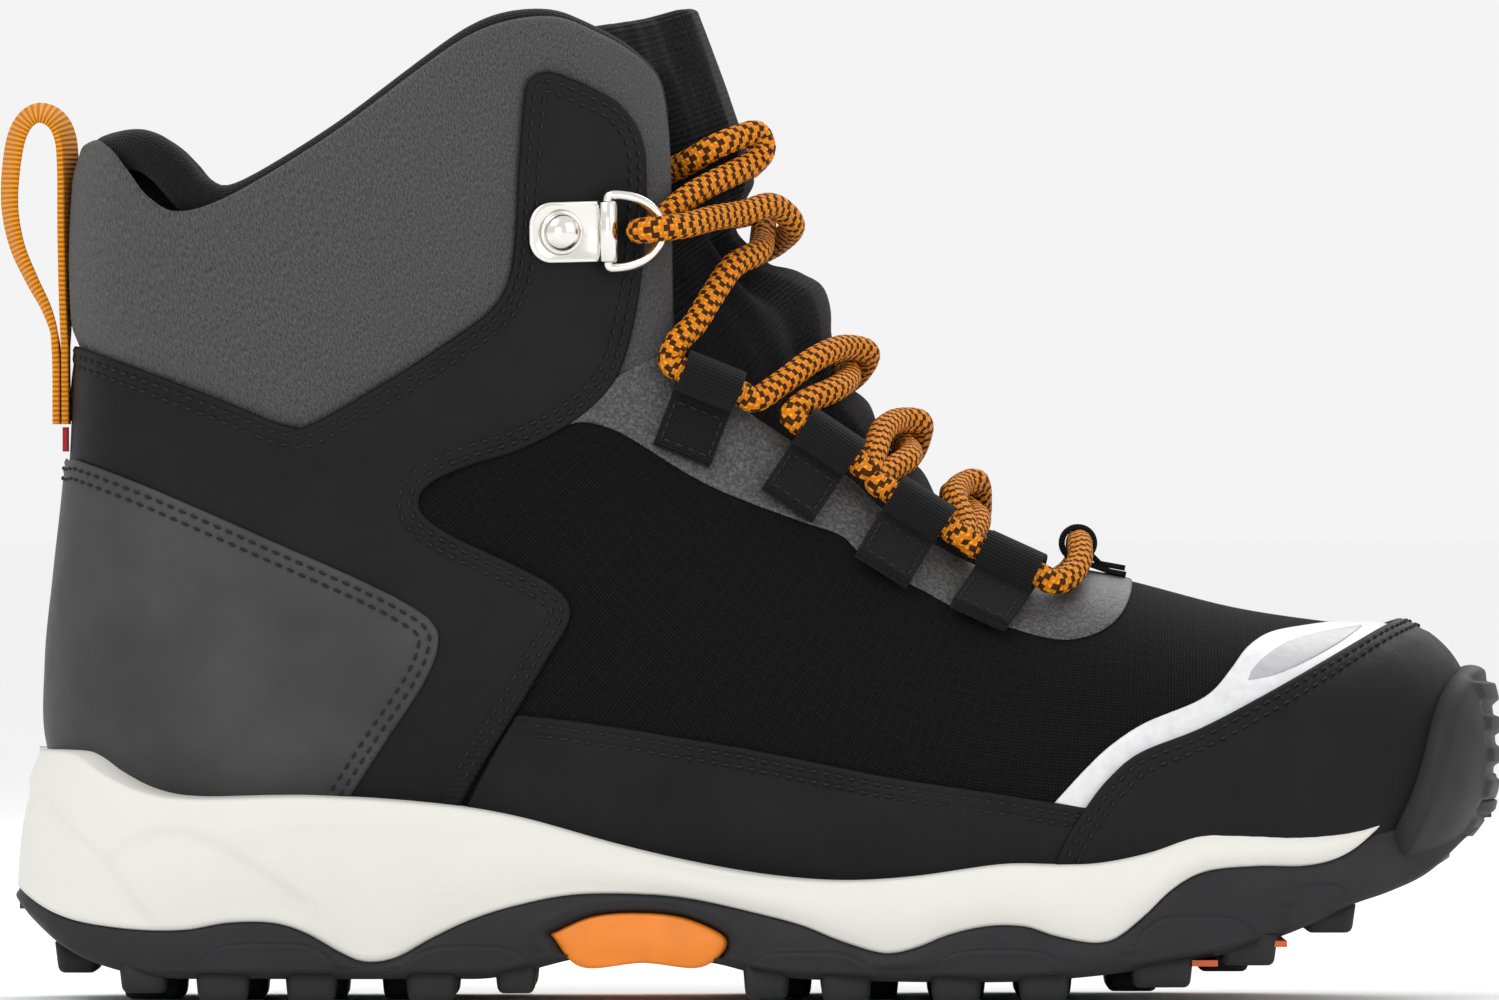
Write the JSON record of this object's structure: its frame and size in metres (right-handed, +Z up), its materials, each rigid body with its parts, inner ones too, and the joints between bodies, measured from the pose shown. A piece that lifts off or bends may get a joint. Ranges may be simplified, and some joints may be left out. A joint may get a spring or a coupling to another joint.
{
  "type": "hiking boot",
  "caption": "Mid-cut hiking boot with a padded collar, webbing lace loops, two swinging lace rings, a heel pull loop, foam midsole and lugged rubber outsole.",
  "frame": {"origin": "on the ground under the middle of the boot's bounding box, the lace left out", "axes": "+X to the toe, +Z up, -Y to the outer (lateral) side of the foot"},
  "size_m": [0.2948, 0.1092, 0.1957],
  "materials": {
    "rubber": "matte, fine-grained",
    "midsole_foam": "moulded foam, satin",
    "shank_orange": "satin, ribbed",
    "board": "pressed fibre",
    "sock": "non-woven",
    "stiffener": "raw",
    "footbed": "short nap on foam",
    "lining": "knitted spacer mesh",
    "mesh": "woven grid",
    "tongue_knit": "ribbed knit",
    "collar_knit": "heathered knit",
    "overlay": "coated, matte",
    "heel_panel": "coated, fine grain",
    "film": "welded film, speckled",
    "reflective": "reflective",
    "webbing": "ribbed webbing",
    "pull_webbing": "ribbed webbing",
    "lace": "round braid",
    "aglet": "clear over black",
    "nickel": "polished",
    "label": "woven"
  },
  "bodies": {
    "root": {"outsole": "rubber", "midsole": "midsole_foam", "arch_shank": "shank_orange", "tread_inlay_rear": "shank_orange", "tread_inlay_front": "shank_orange", "insole_board": "board", "footbed": "footbed", "heel_counter": "stiffener", "toe_puff": "stiffener", "collar_foam": "stiffener", "foot_lining": "lining", "collar_lining": "lining", "vamp_mesh": "mesh", "sock": "sock", "quarter_mesh_lateral": "mesh", "quarter_mesh_medial": "mesh", "tongue": "tongue_knit", "eyestay_film": "film", "toe_cap": "overlay", "heel_overlay": "heel_panel", "lace_loop_front": "webbing", "lace": "lace", "heel_pull": "pull_webbing", "heel_label": "label", "collar_lateral": "collar_knit", "quarter_overlay_lateral": "overlay", "mudguard_lateral": "overlay", "toe_trim_lateral": "reflective", "ring_plate_lateral": "nickel", "rivet_lateral": "nickel", "rivet_washer_lateral": "nickel", "lace_tail_lateral": "lace", "aglet_lateral": "aglet", "lace_loop_lateral_1": "webbing", "lace_loop_lateral_2": "webbing", "lace_loop_lateral_3": "webbing", "lace_loop_lateral_4": "webbing", "collar_medial": "collar_knit", "quarter_overlay_medial": "overlay", "mudguard_medial": "overlay", "toe_trim_medial": "reflective", "ring_plate_medial": "nickel", "rivet_medial": "nickel", "rivet_washer_medial": "nickel", "lace_tail_medial": "lace", "aglet_medial": "aglet", "lace_loop_medial_1": "webbing", "lace_loop_medial_2": "webbing", "lace_loop_medial_3": "webbing", "lace_loop_medial_4": "webbing"},
    "ring_lateral": {"lace_ring_lateral": "nickel"},
    "ring_medial": {"lace_ring_medial": "nickel"}
  },
  "joints": [
    {"name": "ring_lateral_swing", "type": "hinge", "parent": "root", "child": "ring_lateral", "pos_m": [-0.02848, -0.03486, 0.15056], "axis": [0.013, 0.0615, -0.998], "range_deg": [0, 60], "deforming": ["lace", "lace_tail_lateral", "lace_tail_medial"]},
    {"name": "ring_medial_swing", "type": "hinge", "parent": "root", "child": "ring_medial", "pos_m": [-0.02848, 0.03064, 0.15056], "axis": [-0.013, 0.0615, 0.998], "range_deg": [0, 60], "deforming": ["lace", "lace_tail_lateral", "lace_tail_medial"]}
  ]
}
